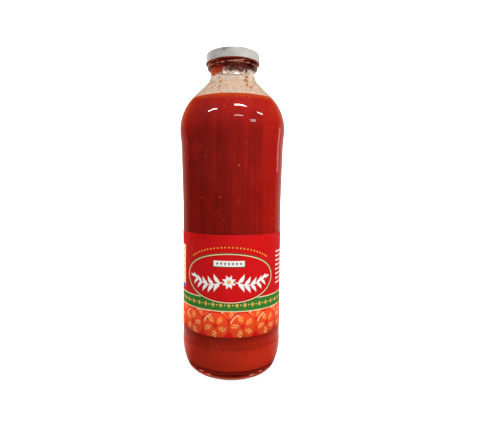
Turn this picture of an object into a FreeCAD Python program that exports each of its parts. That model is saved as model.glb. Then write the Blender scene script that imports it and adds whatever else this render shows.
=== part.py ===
import FreeCAD, Part
import math
import os

import Sketcher

# A filled sauce bottle, built piece by piece: blown glass with a four-start twist-off finish,
# a pressed tinplate lug cap with its sealing ring, the crushed tomato up to its fill level,
# and a paper label wrapped right round the straight panel.
# Millimetres and degrees, +Z up, origin on the table at the middle of the base.
# The front of the bottle, where the label's picture faces, looks along -Y.

SIZES = {
    # glass: overall
    "bottle_height": (260.9, "table to the glass sealing rim"),
    "panel_radius": (41.0, "straight label panel"),
    "wall": (2.8, "glass wall of the body"),
    # glass: foot and heel
    "punt_height": (4.0, "push-up in the middle of the base"),
    "punt_flat": (15.0, "radius of the push-up's level middle"),
    "punt_inset": (17.5, "heel band edge to the inner edge of the bearing ring"),
    "punt_round": (18.0, "curve at the crown of the push-up"),
    "ring_round": (2.0, "inner edge of the bearing ring"),
    "heel_proud": (0.2, "heel band beyond the label panel"),
    "heel_inset": (6.5, "heel band edge to the heel's lower corner"),
    "heel_rise": (15.4, "height of the heel's upper corner"),
    "heel_round": (10.5, "curve from the bearing ring into the heel"),
    "heel_sweep": (46.0, "long curve from the heel into its band"),
    "heel_top": (27.7, "upper edge of the heel band"),
    "recess_fall": (0.9, "height over which the heel band steps in to the panel"),
    "recess_round": (0.6, "curves of that step"),
    # glass: flare, shoulder and neck
    "flare_height": (46.5, "height over which the panel widens below the shoulder band"),
    "flare_proud": (1.25, "widening of the panel over that height"),
    "step_height": (12.8, "height of the step up to the shoulder band"),
    "band_height": (16.3, "shoulder band, from the step to the corner of the shoulder"),
    "shoulder_proud": (2.45, "shoulder band beyond the label panel"),
    "step_round": (5.0, "curves of the shoulder step"),
    "shoulder_round": (37.7, "big convex curve of the shoulder"),
    "neck_inset": (1.55, "neck inside the wall that carries the threads"),
    "neck_length": (7.0, "between the neck's lower and upper corners"),
    "neck_round": (13.3, "hollow curve from the shoulder into the neck"),
    # glass: finish
    "finish_radius": (19.7, "wall that carries the threads"),
    "finish_wall": (3.7, "that wall's thickness, down to the mouth"),
    "neck_top_rise": (2.4, "neck's upper corner to the bead's lower edge"),
    "neck_top_round": (3.0, "hollow curve below the bead"),
    "bead_proud": (1.0, "transfer bead beyond the finish wall"),
    "bead_height": (1.4, "face of the bead"),
    "bead_fall": (0.6, "height of the slope above the bead"),
    "bead_round": (0.6, "curves of the bead"),
    "bead_gap": (2.0, "bead to the bottom of the cap"),
    "rim_outer_round": (1.6, "outer edge of the sealing rim"),
    "rim_inner_round": (1.2, "inner edge of the sealing rim"),
    # glass: inside
    "base_thickness": (5.0, "glass over the push-up"),
    "floor_flat": (14.0, "radius of the level middle of the floor"),
    "floor_edge": (6.0, "height of the floor's outer corner"),
    "floor_round": (25.0, "curve at the middle of the floor"),
    "inner_heel_inset": (4.8, "inner wall to the floor's outer corner"),
    "inner_heel_rise": (20.0, "height of the inner heel's upper corner"),
    "inner_heel_round": (8.0, "curve from the floor into the inner heel"),
    "inner_heel_sweep": (36.0, "long curve from the inner heel into the wall"),
    "neck_wall": (2.6, "glass wall of the neck"),
    # threads of the finish
    "thread_count": (4, "starts"),
    "thread_lead": (18.0, "rise of one start in a full turn"),
    "thread_proud": (1.2, "crest beyond the finish wall"),
    "thread_root": (1.5, "height of a thread at the wall"),
    "thread_crest": (0.7, "height of a thread at its crest"),
    "thread_bite": (0.6, "depth to which a thread is sunk in the wall"),
    "thread_tail": (98.0, "angle that a thread runs on below its seat"),
    "thread_entry": (34.0, "angle that a thread runs on above its seat"),
    "thread_fade": (16.0, "angle over which each end of a thread dies into the wall"),
    # cap
    "cap_height": (8.1, "top of the cap to the bottom of its curl"),
    "curl_clearance": (0.25, "inside of the curl to the thread crests"),
    "metal": (0.25, "tinplate"),
    "cap_round": (1.6, "outer edge of the cap"),
    "curl_proud": (0.3, "curl beyond the skirt"),
    "curl_width": (1.15, "curl across"),
    "curl_height": (1.2, "height of the curl"),
    "curl_slope": (0.4, "height of the slope from the skirt to the curl"),
    "panel_drop": (1.5, "centre panel below the outer ring"),
    "panel_inset": (0.8, "bore to the upper corner of the centre panel's wall"),
    "panel_slope": (1.0, "that wall's lower corner further in"),
    "panel_edge_round": (0.5, "curves of that wall"),
    "panel_flat": (4.3, "level ring between that wall and the vacuum button"),
    "button_rise": (0.5, "vacuum button above the centre panel"),
    "button_slope": (1.4, "width of the button's edge"),
    "lug_reach_gap": (0.3, "tip of a lug to the finish wall"),
    "lug_height": (1.2, "height of a lug"),
    "lug_half_angle": (12.0, "half the angle that a lug takes up"),
    "lug_turn": (-7.0, "turn of the first lug from +X"),
    "seat_gap": (0.15, "lug to the thread that it seats under"),
    # sealing ring
    "seal_thickness": (0.9, "compound between cap and rim"),
    "seal_lip": (0.9, "compound's outer lip below the rim"),
    "seal_gap": (0.3, "that lip to the finish wall"),
    # contents and label
    "fill_drop": (38.6, "rim down to the level of the crushed tomato"),
    "label_low": (9.8, "panel's lower end to the label"),
    "label_high": (22.7, "label to the start of the flare"),
    "paper": (0.15, "label and its glue"),
    "label_overlap": (6.5, "angle of the label's glued overlap at the back"),
}


class Size:
    """A length or angle from the sheet: its number, and the expression that binds it."""

    def __init__(self, value, text):
        self.value = value
        self.text = text

    def __add__(self, other):
        return combined(self, "+", other)

    def __sub__(self, other):
        return combined(self, "-", other)

    def __mul__(self, other):
        return combined(self, "*", other)

    def __truediv__(self, other):
        return combined(self, "/", other)

    def __neg__(self):
        return combined(0, "-", self)


def as_size(thing):
    return thing if isinstance(thing, Size) else Size(float(thing), repr(thing))


def combined(left, sign, right):
    left = as_size(left)
    right = as_size(right)
    results = {
        "+": lambda one, two: one + two,
        "-": lambda one, two: one - two,
        "*": lambda one, two: one * two,
        "/": lambda one, two: one / two,
    }
    value = results[sign](left.value, right.value)
    return Size(value, f"({left.text} {sign} {right.text})")


def size(name):
    return Size(float(SIZES[name][0]), "Sizes." + name)


def make_sheet(doc):
    """Write every driving dimension into the spreadsheet, one row each."""
    sheet = doc.addObject("Spreadsheet::Sheet", "Sizes")
    for row, (name, (value, meaning)) in enumerate(SIZES.items(), start=1):
        sheet.set(f"A{row}", name)
        sheet.set(f"B{row}", str(value))
        sheet.set(f"C{row}", meaning)
        sheet.setAlias(f"B{row}", name)
    doc.recompute()


# ---- sketches ------------------------------------------------------------------------------

def origin_part(body, role):
    return next(part for part in body.Origin.OriginFeatures if part.Role == role)


def new_sketch(body, name, plane, lift=None, turn=None):
    """A sketch on one of the body's planes, lifted and turned about the bottle's axis."""
    sketch = body.newObject("Sketcher::SketchObject", name)
    sketch.AttachmentSupport = (origin_part(body, plane), [""])
    sketch.MapMode = "FlatFace"
    upright = plane == "XZ_Plane"
    lift = lift or as_size(0)
    turn = turn or as_size(0)
    axis = FreeCAD.Vector(0, 1, 0) if upright else FreeCAD.Vector(0, 0, 1)
    base = axis * lift.value
    sketch.AttachmentOffset = FreeCAD.Placement(base, FreeCAD.Rotation(axis, turn.value))
    sketch.setExpression(".AttachmentOffset.Base." + ("y" if upright else "z"), lift.text)
    sketch.setExpression(".AttachmentOffset.Rotation.Angle", turn.text)
    return sketch


def bind(sketch, constraint, amount):
    """Add a constraint whose value stays bound to the sheet."""
    index = sketch.addConstraint(constraint)
    sketch.setExpression(f"Constraints[{index}]", amount.text)


def place_point(sketch, shape, end, across, up):
    """Hold a point at the given distances from the sketch's origin."""
    if across.value == 0:
        sketch.addConstraint(Sketcher.Constraint("PointOnObject", shape, end, -2))
    else:
        bind(sketch, Sketcher.Constraint("DistanceX", -1, 1, shape, end, across.value), across)
    if up.value == 0:
        sketch.addConstraint(Sketcher.Constraint("PointOnObject", shape, end, -1))
    else:
        bind(sketch, Sketcher.Constraint("DistanceY", -1, 1, shape, end, up.value), up)


def rounding(before, corner, after, radius):
    """The ends and middle of the arc that rounds a corner, and whether it turns left."""
    arriving = (corner - before).normalize()
    leaving = (after - corner).normalize()
    turn = arriving.getAngle(leaving)
    reach = radius * math.tan(turn / 2)
    first = corner - arriving * reach
    last = corner + leaving * reach
    inward = (leaving - arriving).normalize()
    centre = corner + inward * (radius / math.cos(turn / 2))
    left = arriving.cross(leaving).z > 0
    return first, last, centre, left


def outline(sketch, corners):
    """Draw a closed profile through corners given as (across, up, rounding or None)."""
    corners = [(as_size(across), as_size(up), rounded) for across, up, rounded in corners]
    spots = [FreeCAD.Vector(across.value, up.value, 0) for across, up, _ in corners]
    count = len(corners)
    arcs = []
    for index, (_, _, rounded) in enumerate(corners):
        if rounded is None:
            arcs.append(None)
            continue
        around = rounding(spots[index - 1], spots[index], spots[(index + 1) % count], rounded.value)
        arcs.append(around)

    lines = []
    for index in range(count):
        following = (index + 1) % count
        start = arcs[index][1] if arcs[index] else spots[index]
        end = arcs[following][0] if arcs[following] else spots[following]
        lines.append(sketch.addGeometry(Part.LineSegment(start, end), False))

    for index, (across, up, rounded) in enumerate(corners):
        arriving = lines[index - 1]
        leaving = lines[index]
        if rounded is None:
            sketch.addConstraint(Sketcher.Constraint("Coincident", arriving, 2, leaving, 1))
            place_point(sketch, leaving, 1, across, up)
            continue
        first, last, centre, left = arcs[index]
        start, end = (first, last) if left else (last, first)
        circle = Part.Circle(centre, FreeCAD.Vector(0, 0, 1), rounded.value)
        arc = sketch.addGeometry(
            Part.ArcOfCircle(circle, circle.parameter(start), circle.parameter(end)), False)
        first_end, last_end = (1, 2) if left else (2, 1)
        sketch.addConstraint(Sketcher.Constraint("Tangent", arriving, 2, arc, first_end))
        sketch.addConstraint(Sketcher.Constraint("Tangent", arc, last_end, leaving, 1))
        bind(sketch, Sketcher.Constraint("Radius", arc, rounded.value), rounded)
        point = sketch.addGeometry(Part.Point(spots[index]), True)
        sketch.addConstraint(Sketcher.Constraint("PointOnObject", point, 1, arriving))
        sketch.addConstraint(Sketcher.Constraint("PointOnObject", point, 1, leaving))
        place_point(sketch, point, 1, across, up)
    return sketch


def ring_sector(sketch, inner, outer, half_angle):
    """Draw a piece of a flat ring, centred on the sketch's own X axis."""
    normal = FreeCAD.Vector(0, 0, 1)
    origin = FreeCAD.Vector(0, 0, 0)
    spread = math.radians(half_angle.value)

    def spot(radius, side):
        return FreeCAD.Vector(radius.value * math.cos(spread), side * radius.value * math.sin(spread), 0)

    arcs = []
    for radius in (inner, outer):
        circle = Part.Circle(origin, normal, radius.value)
        arc = sketch.addGeometry(Part.ArcOfCircle(circle, -spread, spread), False)
        sketch.addConstraint(Sketcher.Constraint("Coincident", arc, 3, -1, 1))
        bind(sketch, Sketcher.Constraint("Radius", arc, radius.value), radius)
        arcs.append(arc)
    for side, end in ((-1, 1), (1, 2)):
        edge = sketch.addGeometry(Part.LineSegment(spot(inner, side), spot(outer, side)), False)
        sketch.addConstraint(Sketcher.Constraint("Coincident", edge, 1, arcs[0], end))
        sketch.addConstraint(Sketcher.Constraint("Coincident", edge, 2, arcs[1], end))
        sketch.addConstraint(Sketcher.Constraint("PointOnObject", -1, 1, edge))
        angle = half_angle * side
        bind(sketch, Sketcher.Constraint("Angle", edge, math.radians(angle.value)), angle)


# ---- features ------------------------------------------------------------------------------

def new_body(doc, name):
    body = doc.addObject("PartDesign::Body", name)
    body.Label = name
    body.Placement = FreeCAD.Placement()
    return body


def revolve(body, name, corners):
    """Turn a profile right round the bottle's axis."""
    sketch = new_sketch(body, name + "_profile", "XZ_Plane")
    outline(sketch, corners)
    feature = body.newObject("PartDesign::Revolution", name)
    feature.Profile = sketch
    feature.ReferenceAxis = (sketch, ["V_Axis"])
    feature.Angle = 360
    return feature


def pad(body, name, sketch, length):
    feature = body.newObject("PartDesign::Pad", name)
    feature.Profile = sketch
    feature.setExpression("Length", length.text)
    return feature


def around_axis(body, name, feature, count):
    """Repeat a feature evenly round the bottle's axis."""
    pattern = body.newObject("PartDesign::PolarPattern", name)
    pattern.Originals = [feature]
    pattern.Axis = (origin_part(body, "Z_Axis"), [""])
    pattern.Angle = 360
    pattern.setExpression("Occurrences", count.text)
    body.Tip = pattern
    return pattern


# ---- heights and radii that several pieces share ---------------------------------------------

RIM = size("bottle_height")
CAP_UNDERSIDE = RIM + size("seal_thickness")
CAP_TOP = CAP_UNDERSIDE + size("metal")
CAP_BOTTOM = CAP_TOP - size("cap_height")
FINISH = size("finish_radius")
BORE = FINISH - size("finish_wall")
CURL_INSIDE = FINISH + size("thread_proud") + size("curl_clearance")
CURL_OUTSIDE = CURL_INSIDE + size("curl_width")
SKIRT = CURL_OUTSIDE - size("curl_proud")
SKIRT_INSIDE = SKIRT - size("metal")
CAP_INNER_ROUND = size("cap_round") - size("metal")
BEAD_TOP = CAP_BOTTOM - size("bead_gap")
BEAD_HIGH = BEAD_TOP - size("bead_fall")
BEAD_LOW = BEAD_HIGH - size("bead_height")
NECK_TOP = BEAD_LOW - size("neck_top_rise")
PANEL = size("panel_radius")
HEEL_BAND = PANEL + size("heel_proud")
SHOULDER = PANEL + size("shoulder_proud")
NECK = FINISH - size("neck_inset")
NECK_CORNER = NECK_TOP - size("neck_length")
# The shoulder falls at 45 degrees between its two curves.
SHOULDER_CORNER = NECK_CORNER - SHOULDER + NECK
STEP_TOP = SHOULDER_CORNER - size("band_height")
STEP_FOOT = STEP_TOP - size("step_height")
FLARE_FOOT = STEP_FOOT - size("flare_height")
PANEL_FOOT = size("heel_top") + size("recess_fall")
# A 45 degree slope moved in by the wall meets the walls beside it lower by this share of it.
SLOPE_SHARE = math.sqrt(2) - 1


def cavity():
    """Corners of the bottle's inside, from the middle of the floor up to the neck."""
    wall = size("wall")
    inside = PANEL - wall
    floor = size("punt_height") + size("base_thickness")
    neck_inside = NECK - size("neck_wall")
    shoulder_low = SHOULDER_CORNER - wall * SLOPE_SHARE
    shoulder_high = shoulder_low + (SHOULDER - wall - neck_inside)
    return [
        (0, floor, None),
        (size("floor_flat"), floor, size("floor_round")),
        (inside - size("inner_heel_inset"), size("floor_edge"), size("inner_heel_round")),
        (inside, size("inner_heel_rise"), size("inner_heel_sweep")),
        (inside, FLARE_FOOT, None),
        (inside + size("flare_proud"), STEP_FOOT, size("step_round")),
        (SHOULDER - wall, STEP_TOP, size("step_round")),
        (SHOULDER - wall, shoulder_low, size("shoulder_round") - wall),
        (neck_inside, shoulder_high, size("neck_round") + size("neck_wall")),
    ]


def neck_inside_top():
    return (NECK - size("neck_wall"), NECK_TOP, None)


def glass_outside():
    """Corners of the bottle's outside, from the middle of the push-up up to the finish."""
    return [
        (0, size("punt_height"), None),
        (size("punt_flat"), size("punt_height"), size("punt_round")),
        (HEEL_BAND - size("punt_inset"), 0, size("ring_round")),
        (HEEL_BAND - size("heel_inset"), 0, size("heel_round")),
        (HEEL_BAND, size("heel_rise"), size("heel_sweep")),
        (HEEL_BAND, size("heel_top"), size("recess_round")),
        (PANEL, PANEL_FOOT, size("recess_round")),
        (PANEL, FLARE_FOOT, None),
        (PANEL + size("flare_proud"), STEP_FOOT, size("step_round")),
        (SHOULDER, STEP_TOP, size("step_round")),
        (SHOULDER, SHOULDER_CORNER, size("shoulder_round")),
        (NECK, NECK_CORNER, size("neck_round")),
        (NECK, NECK_TOP, size("neck_top_round")),
        (FINISH + size("bead_proud"), BEAD_LOW, size("bead_round")),
        (FINISH + size("bead_proud"), BEAD_HIGH, size("bead_round")),
        (FINISH, BEAD_TOP, None),
    ]


def thread_section(body, number, angle, lift, share):
    """One section of a thread: a blunt wedge whose crest stands out by a share of the whole."""
    sketch = new_sketch(body, f"thread_section_{number}", "XZ_Plane", lift, angle)
    foot = FINISH - size("thread_bite")
    sunk = size("thread_bite") / 2
    crest = FINISH - sunk + (size("thread_proud") + sunk) * share
    root = size("thread_root") / 2
    tip = size("thread_crest") / 2
    return outline(sketch, [(foot, -root, None), (crest, -tip, None), (crest, tip, None), (foot, root, None)])


def thread(body):
    """One start of the finish, lofted along its helix and dying into the wall at both ends.

    Its seat is where a cap lug bears: there its underside clears the lug by the seat gap.
    """
    seat_height = CAP_BOTTOM + size("lug_height") + size("seat_gap") + size("thread_root") / 2
    seat_angle = size("lug_turn") - size("lug_half_angle")
    tail = size("thread_tail")
    entry = size("thread_entry")
    fade = size("thread_fade")
    even = (tail + entry - fade * 2) / 6
    steps = [(as_size(0), 0.0), (fade / 2, 0.72), (fade, 1.0)]
    steps += [(fade + even * turn, 1.0) for turn in range(1, 7)]
    steps += [(tail + entry - fade / 2, 0.72), (tail + entry, 0.0)]
    sections = []
    for number, (along, share) in enumerate(steps):
        angle = seat_angle - tail + along
        lift = seat_height + (along - tail) * size("thread_lead") / 360
        sections.append(thread_section(body, number, angle, lift, share))
    loft = body.newObject("PartDesign::AdditiveLoft", "thread")
    loft.Profile = sections[0]
    loft.Sections = [(section, [""]) for section in sections[1:]]
    loft.Ruled = False
    return loft


def bottle(doc):
    """Blown glass: body, shoulder, neck and the threaded finish."""
    body = new_body(doc, "bottle")
    rim = [
        (FINISH, RIM, size("rim_outer_round")),
        (BORE, RIM, size("rim_inner_round")),
        (BORE, BEAD_TOP, None),
    ]
    inside = cavity() + [neck_inside_top()]
    revolve(body, "glass", glass_outside() + rim + inside[::-1])
    doc.recompute()
    plain = body.Shape.Volume
    start = thread(body)
    doc.recompute()
    around_axis(body, "threads", start, size("thread_count"))
    doc.recompute()
    assert body.Shape.Volume > plain, "the threads add no glass"
    return body


def crushed_tomato(doc):
    """The contents: the bottle's cavity, level at the fill height."""
    body = new_body(doc, "crushed_tomato")
    top = neck_inside_top()
    revolve(body, "cavity", cavity() + [top, (0, top[1], None)])
    doc.recompute()
    full = body.Shape.Volume
    sketch = new_sketch(body, "fill_level", "XY_Plane", RIM - size("fill_drop"))
    circle = sketch.addGeometry(Part.Circle(FreeCAD.Vector(0, 0, 0), FreeCAD.Vector(0, 0, 1), SHOULDER.value), False)
    sketch.addConstraint(Sketcher.Constraint("Coincident", circle, 3, -1, 1))
    bind(sketch, Sketcher.Constraint("Radius", circle, SHOULDER.value), SHOULDER)
    headspace = body.newObject("PartDesign::Pocket", "headspace")
    headspace.Profile = sketch
    headspace.Type = "ThroughAll"
    headspace.Reversed = True
    doc.recompute()
    assert 0 < body.Shape.Volume < full, "the headspace cuts nothing"
    return body


def cap_wall():
    """Corners of the tinplate, down the outside from the button and back up the inside."""
    metal = size("metal")
    panel = CAP_TOP - size("panel_drop")
    wall_top = BORE - size("panel_inset")
    wall_foot = wall_top - size("panel_slope")
    button_foot = wall_foot - size("panel_flat")
    button = button_foot - size("button_slope")
    edge = size("panel_edge_round")
    curl_top = CAP_BOTTOM + size("curl_height")
    curl_round = size("curl_width") / 2 - size("metal") / 4
    hollow_round = curl_round - metal
    return [
        (0, panel + size("button_rise"), None),
        (button, panel + size("button_rise"), edge),
        (button_foot, panel, edge),
        (wall_foot, panel, edge),
        (wall_top, CAP_TOP, edge),
        (SKIRT, CAP_TOP, size("cap_round")),
        (SKIRT, curl_top + size("curl_slope"), edge),
        (CURL_OUTSIDE, curl_top, edge / 2),
        (CURL_OUTSIDE, CAP_BOTTOM, curl_round),
        (CURL_INSIDE, CAP_BOTTOM, curl_round),
        (CURL_INSIDE, curl_top, None),
        (CURL_INSIDE + metal, curl_top, None),
        (CURL_INSIDE + metal, CAP_BOTTOM + metal, hollow_round),
        (CURL_OUTSIDE - metal, CAP_BOTTOM + metal, hollow_round),
        (CURL_OUTSIDE - metal, curl_top, edge / 2),
        (SKIRT_INSIDE, curl_top + size("curl_slope"), edge),
        (SKIRT_INSIDE, CAP_UNDERSIDE, CAP_INNER_ROUND),
        (wall_top + metal, CAP_UNDERSIDE, edge / 2),
        (wall_foot + metal, panel - metal, edge),
        (button_foot, panel - metal, edge),
        (button, panel + size("button_rise") - metal, edge),
        (0, panel + size("button_rise") - metal, None),
    ]


def cap(doc):
    """Twist-off cap: pressed tinplate with a vacuum button, a rolled curl and four lugs."""
    body = new_body(doc, "cap")
    revolve(body, "tinplate", cap_wall())
    doc.recompute()
    plain = body.Shape.Volume
    sketch = new_sketch(body, "lug_outline", "XY_Plane", CAP_BOTTOM + size("metal") / 2, size("lug_turn"))
    tip = FINISH + size("lug_reach_gap")
    ring_sector(sketch, tip, CURL_INSIDE + size("metal") / 2, size("lug_half_angle"))
    lug = pad(body, "lug", sketch, size("lug_height") - size("metal") / 2)
    doc.recompute()
    around_axis(body, "lugs", lug, size("thread_count"))
    doc.recompute()
    assert body.Shape.Volume > plain, "the lugs add no metal"
    return body


def cap_seal(doc):
    """Ring of sealing compound, pressed between the cap and the glass rim."""
    body = new_body(doc, "cap_seal")
    lip_inside = FINISH + size("seal_gap")
    lip_round = size("seal_gap")
    revolve(body, "compound", [
        (BORE, RIM, None),
        (lip_inside, RIM, lip_round),
        (lip_inside, RIM - size("seal_lip"), None),
        (SKIRT_INSIDE, RIM - size("seal_lip"), None),
        (SKIRT_INSIDE, CAP_UNDERSIDE, CAP_INNER_ROUND),
        (BORE, CAP_UNDERSIDE, lip_round),
    ])
    return body


def label(doc):
    """Paper wrapped right round the panel, its end glued over its start at the back."""
    body = new_body(doc, "label")
    foot = PANEL_FOOT + size("label_low")
    height = FLARE_FOOT - size("label_high") - foot
    face = PANEL + size("paper")
    sketch = new_sketch(body, "wrap_outline", "XY_Plane", foot)
    for radius in (PANEL, face):
        circle = sketch.addGeometry(
            Part.Circle(FreeCAD.Vector(0, 0, 0), FreeCAD.Vector(0, 0, 1), radius.value), False)
        sketch.addConstraint(Sketcher.Constraint("Coincident", circle, 3, -1, 1))
        bind(sketch, Sketcher.Constraint("Radius", circle, radius.value), radius)
    pad(body, "wrap", sketch, height)
    seam = new_sketch(body, "overlap_outline", "XY_Plane", foot, as_size(90))
    ring_sector(seam, PANEL + size("paper") / 2, face + size("paper"), size("label_overlap") / 2)
    pad(body, "overlap", seam, height)
    return body


def check(doc, bodies):
    """Stop if any object failed or any piece is not one valid solid."""
    for thing in doc.Objects:
        assert not {"Invalid", "Error"} & set(thing.State), f"{thing.Name} failed: {thing.State}"
    for body in bodies:
        shape = body.Shape
        assert not shape.isNull() and shape.isValid(), f"{body.Label} is not a valid shape"
        assert len(shape.Solids) == 1, f"{body.Label} is not one solid"
        box = shape.BoundBox
        print(f"{body.Label}: {shape.Volume / 1000:.2f} ml, z {box.ZMin:.2f} to {box.ZMax:.2f}")


def main():
    os.makedirs("parts", exist_ok=True)
    doc = FreeCAD.newDocument("sauce_bottle")
    make_sheet(doc)
    bodies = [make(doc) for make in (bottle, cap, cap_seal, crushed_tomato, label)]
    doc.recompute()
    check(doc, bodies)
    for body in bodies:
        body.Shape.exportStep(f"parts/{body.Label}.step")


main()
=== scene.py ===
"""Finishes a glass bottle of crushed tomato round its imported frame.

The glass, the cap and its sealing ring keep their own shapes and get their finishes here.
The contents and the label are replaced by modelled pieces, and what clings to the glass
above the fill level is added: the film, the drops, the flecks and the residue in the mouth.
"""

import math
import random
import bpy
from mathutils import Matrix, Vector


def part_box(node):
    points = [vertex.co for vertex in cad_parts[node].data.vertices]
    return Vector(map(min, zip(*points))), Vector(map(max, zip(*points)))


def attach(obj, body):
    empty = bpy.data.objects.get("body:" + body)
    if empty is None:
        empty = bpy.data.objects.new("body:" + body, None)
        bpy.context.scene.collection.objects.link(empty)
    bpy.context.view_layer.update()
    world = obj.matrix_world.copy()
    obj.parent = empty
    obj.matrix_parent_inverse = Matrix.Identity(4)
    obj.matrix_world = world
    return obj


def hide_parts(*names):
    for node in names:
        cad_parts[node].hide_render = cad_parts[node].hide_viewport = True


bl_info = {
    "name": "Crushed Tomato Bottle",
    "version": (1, 0, 0),
    "blender": (4, 5, 0),
    "location": "View3D > Sidebar > Tomato Bottle",
    "description": "Glass, crushed tomato, residue, wrap-around label, cap and stage of a sauce bottle",
    "category": "Object",
}

import bmesh
import bpy
from bpy.props import FloatProperty, FloatVectorProperty, IntProperty, PointerProperty
from mathutils import Matrix, Vector, geometry, noise

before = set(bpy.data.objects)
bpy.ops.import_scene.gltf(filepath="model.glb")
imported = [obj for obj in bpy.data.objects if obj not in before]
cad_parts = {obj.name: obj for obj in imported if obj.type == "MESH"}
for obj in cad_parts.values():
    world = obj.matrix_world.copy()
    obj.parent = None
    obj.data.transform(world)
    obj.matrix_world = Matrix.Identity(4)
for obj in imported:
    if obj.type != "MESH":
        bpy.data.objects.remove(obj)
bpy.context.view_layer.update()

MM = 0.001
ROOT = "root"
PULP_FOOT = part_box("crushed_tomato")[0].z
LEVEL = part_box("crushed_tomato")[1].z
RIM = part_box("bottle")[1].z
LABEL_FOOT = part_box("label")[0].z
LABEL_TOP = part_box("label")[1].z
LABEL_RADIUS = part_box("label")[1].x
CAP_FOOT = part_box("cap")[0].z
CAP_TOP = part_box("cap")[1].z
CAP_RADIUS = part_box("cap")[1].x
THREAD_LEAD = 18 * MM
THREAD_LINE = CAP_FOOT - 2.2 * MM
BEAD_LINE = CAP_FOOT - 2.9 * MM
HEEL_LINE = LABEL_FOOT - 10.6 * MM


# ---- settings ------------------------------------------------------------------------------

def colour(name, description, default):
    return FloatVectorProperty(
        name=name, description=description, default=default, subtype="COLOR", min=0, max=1, size=3)


def length(name, description, default):
    return FloatProperty(
        name=name, description=description, default=default, min=0.0, unit="LENGTH", precision=5)


def number(name, description, default):
    return FloatProperty(name=name, description=description, default=default)


def count(name, description, default):
    return IntProperty(name=name, description=description, default=default)


class GlassSettings(bpy.types.PropertyGroup):
    tint: colour("Tint", "What the flint glass lets through", (0.965, 0.985, 0.975))
    stain: colour("Stain", "Juice dried on the threads", (0.42, 0.06, 0.035))
    light_stain: colour("Light stain", "Thinner juice on the threads", (0.80, 0.22, 0.12))
    # Painted light: the foot colour is a painted reflection of the pulp in the thick foot, and the lowest
    # edge is painted shade along the ring the bottle stands on.
    foot: colour("Foot", "Colour that the thick foot takes from the pulp", (0.66, 0.13, 0.06))
    painted_foot_shade: colour("Lowest edge", "Darker ring that the bottle stands on", (0.24, 0.07, 0.04))
    # Painted highlights: these two colours draw the gleam of lamps along the bead and the thread.
    bead_highlight: colour("Juice line", "Juice dried along the bead and the thread", (0.55, 0.16, 0.09))
    pale_bead_highlight: colour("Pale juice line", "Thinner juice on the same lines", (0.86, 0.46, 0.30))
    waviness: length("Waviness", "Height of the slow waves that blowing leaves in the wall", 0.00002)
    wave_size: number("Wave size", "Waves for each metre", 38.0)


class PulpSettings(bpy.types.PropertyGroup):
    flesh: colour("Flesh", "Crushed flesh against the glass", (0.40, 0.0080, 0.0045))
    # The juice colour is also drawn as painted shade at the heel line and below the label.
    juice: colour("Juice", "Darker juice between the pieces of flesh", (0.165, 0.0035, 0.0022))
    # Painted light: paler pulp for the heel, standing in for light bounced up from the floor.
    painted_heel_light: colour("Settled", "Paler pulp settled in the heel", (0.70, 0.042, 0.014))
    # Froth colour for the lip at the fill level, also used as a painted glow on the left and right flanks
    # below it.
    froth_and_edge_glow: colour("Upper edge", "Paler, more orange pulp at the fill level", (0.52, 0.070, 0.008))
    bit: colour("Pieces", "Paler pieces of flesh in the pulp", (0.56, 0.055, 0.012))
    seed: colour("Seeds", "Tomato seeds", (0.58, 0.060, 0.008))
    into_glass: length("Into the glass", "Reach into the wall, so that no air shows", 0.00012)
    seed_count: count("Seeds", "Seeds for each square metre of glass", 1500)
    bit_count: count("Pieces", "Pieces for each square metre of glass", 2600)


class ResidueSettings(bpy.types.PropertyGroup):
    film: colour("Film", "Thin juice dried on the glass", (0.72, 0.52, 0.35))
    # Painted light: a paler film colour that lifts a shaded band below the mouth.
    painted_light_film: colour("Pale film", "Thinner film below the mouth", (0.95, 0.86, 0.76))
    speck: colour("Specks", "Specks of dried juice", (0.46, 0.15, 0.04))
    # Foam colour, partly the bubbles' own rims, partly painted glints of the lamps on them.
    foam_and_glints: colour("Foam", "Rims of the bubbles in the mouth", (0.62, 0.52, 0.50))
    thick: colour("Residue", "Thick pulp dried in the mouth of the bottle", (0.13, 0.010, 0.006))
    fresh: colour("Fresh pulp", "Wet orange pulp at the left of the mouth", (0.62, 0.07, 0.012))
    fleck: colour("Flecks", "Bits of flesh stuck to the neck", (0.72, 0.15, 0.015))
    drop: colour("Drops", "Clear juice of the drops", (0.97, 0.90, 0.84))
    into_glass: length("Into the glass", "Reach into the wall, so that no air shows", 0.0001)
    drop_count: count("Drops", "Drops for each square metre of film", 120000)
    fleck_count: count("Flecks", "Flecks for each square metre of film", 3600)


class LabelSettings(bpy.types.PropertyGroup):
    red: colour("Red", "Ground of the label", (0.61, 0.0040, 0.0050))
    deep_red: colour("Deep red", "Inside of the medallion and shadows", (0.46, 0.004, 0.008))
    green: colour("Green", "Band round the label", (0.035, 0.20, 0.025))
    dark_green: colour("Dark green", "Edge of the medallion and the leaves", (0.02, 0.085, 0.015))
    cream: colour("Cream", "Fine lines and panels", (0.83, 0.70, 0.40))
    gold: colour("Gold", "Small ornament", (0.78, 0.40, 0.06))
    white: colour("White", "Sprig and plate", (0.86, 0.84, 0.80))
    skin: colour("Skin", "Rim of the tomato slices", (0.66, 0.022, 0.008))
    flesh: colour("Flesh", "Flesh of the tomato slices", (0.80, 0.062, 0.012))
    chamber: colour("Chambers", "Seed chambers of the slices", (0.84, 0.16, 0.02))
    blue: colour("Blue", "Small panel at the side", (0.05, 0.16, 0.42))
    thickness: length("Thickness", "Paper", 0.00010)
    overlap: number("Overlap", "Glued overlap at the back, in degrees", 6.5)


class CapSettings(bpy.types.PropertyGroup):
    enamel: colour("Enamel", "Off-white outside of the cap", (0.53, 0.525, 0.485))
    lacquer: colour("Lacquer", "Stained gold lacquer inside the cap", (0.26, 0.045, 0.022))
    stain: colour("Stain", "Brown-grey smudge on the upper edge", (0.20, 0.17, 0.125))
    compound: colour("Compound", "Sealing ring", (0.70, 0.66, 0.58))


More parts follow.
